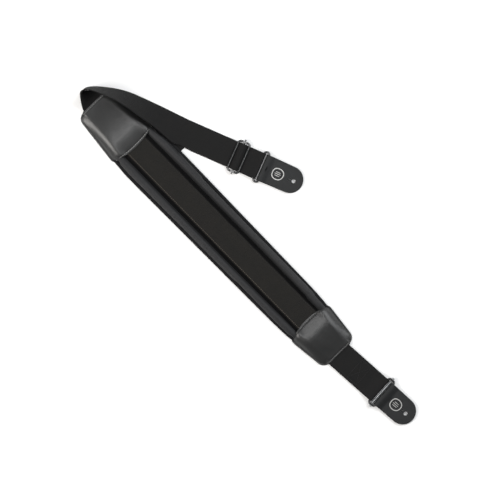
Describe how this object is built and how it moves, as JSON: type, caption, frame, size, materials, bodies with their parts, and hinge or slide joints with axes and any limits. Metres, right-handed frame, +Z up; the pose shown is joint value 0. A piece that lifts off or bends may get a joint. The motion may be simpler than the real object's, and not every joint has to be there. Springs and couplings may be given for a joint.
{
  "type": "padded guitar strap",
  "caption": "Long padded shoulder strap with webbing, a sliding adjuster, rings and leather end tabs, each with a hole for a strap button.",
  "frame": {"origin": "centre of the strap's bounding box, on the surface it lies on", "axes": "+X along the pad towards its short end, +Y towards the folded-back adjustable end, +Z up"},
  "size_m": [0.8344, 0.2292, 0.0495],
  "materials": {
    "lining": "matte brushed lining cloth",
    "foam": "closed-cell foam",
    "pad_fabric": "smooth knitted fabric over foam",
    "strip_webbing": "ribbed woven webbing",
    "label": "plain woven ribbon",
    "cover_leather": "smooth satin",
    "thread": "bonded nylon thread",
    "webbing": "close woven, matte",
    "black_wire": "black lacquered steel wire",
    "bare_wire": "satin nickel",
    "tab_leather": "fine grained, low sheen",
    "silver_print": "foil print"
  },
  "bodies": {
    "pad": {"pad_lining": "lining", "pad_foam_left": "foam", "pad_foam_right": "foam", "pad_foam_centre": "foam", "pad_skin_left": "pad_fabric", "pad_skin_right": "pad_fabric", "pad_strip_webbing": "strip_webbing", "pad_side_label": "label", "upper_cover_front": "cover_leather", "upper_cover_back": "cover_leather", "upper_cover_stitching": "thread", "lower_cover_front": "cover_leather", "lower_cover_back": "cover_leather", "lower_cover_stitching": "thread", "upper_webbing_fold": "webbing", "upper_webbing_run": "webbing", "lower_webbing": "webbing", "lower_webbing_stitching": "thread"},
    "slider": {"slider_frame": "black_wire", "slider_webbing": "webbing", "slider_sewn_end": "webbing"},
    "slider_bar": {"slider_bar": "black_wire"},
    "upper_loop": {"upper_webbing_loop": "webbing"},
    "upper_ring": {"upper_ring": "black_wire"},
    "upper_tab": {"upper_tab_front": "tab_leather", "upper_tab_back": "tab_leather", "upper_tab_stitching": "thread", "upper_tab_emblem": "silver_print"},
    "lower_ring": {"lower_ring": "black_wire"},
    "lower_bar": {"lower_bar": "bare_wire"},
    "lower_tab": {"lower_tab_front": "tab_leather", "lower_tab_back": "tab_leather", "lower_tab_stitching": "thread", "lower_tab_emblem": "silver_print"}
  },
  "joints": [
    {"name": "slider_slide", "type": "slide", "parent": "pad", "child": "slider", "axis": [0.9285, 0.3714, 0], "range_m": [-0.055, 0.012], "deforming": ["upper_webbing_run"]},
    {"name": "slider_bar_play", "type": "slide", "parent": "slider", "child": "slider_bar", "axis": [0.9285, 0.3714, 0], "range_m": [-0.0012, 0.0012]},
    {"name": "ring_follow", "type": "slide", "parent": "slider", "child": "upper_loop", "axis": [0.9285, 0.3714, 0], "range_m": [-0.006, 0.0275], "deforming": ["upper_webbing_loop"]},
    {"name": "upper_ring_hinge", "type": "hinge", "parent": "upper_loop", "child": "upper_ring", "pos_m": [-0.09996, 0.06782, 0.0045], "axis": [0.3714, -0.9285, 0], "range_deg": [-60, 90]},
    {"name": "upper_tab_hinge", "type": "hinge", "parent": "upper_ring", "child": "upper_tab", "pos_m": [-0.09123, 0.07132, 0.0045], "axis": [0.3714, -0.9285, 0], "range_deg": [-60, 90]},
    {"name": "lower_ring_hinge", "type": "hinge", "parent": "pad", "child": "lower_ring", "pos_m": [0.33624, -0.05914, 0.0045], "axis": [0.0698, -0.9976, 0], "range_deg": [-60, 90]},
    {"name": "lower_bar_play", "type": "slide", "parent": "lower_ring", "child": "lower_bar", "axis": [0.9976, 0.0698, 0], "range_m": [-0.0006, 0.0006]},
    {"name": "lower_tab_hinge", "type": "hinge", "parent": "lower_ring", "child": "lower_tab", "pos_m": [0.34941, -0.05822, 0.0045], "axis": [0.0698, -0.9976, 0], "range_deg": [-60, 90]}
  ],
  "couplings": [
    {"joint": "ring_follow", "follows": "slider_slide", "ratio": -0.5}
  ]
}
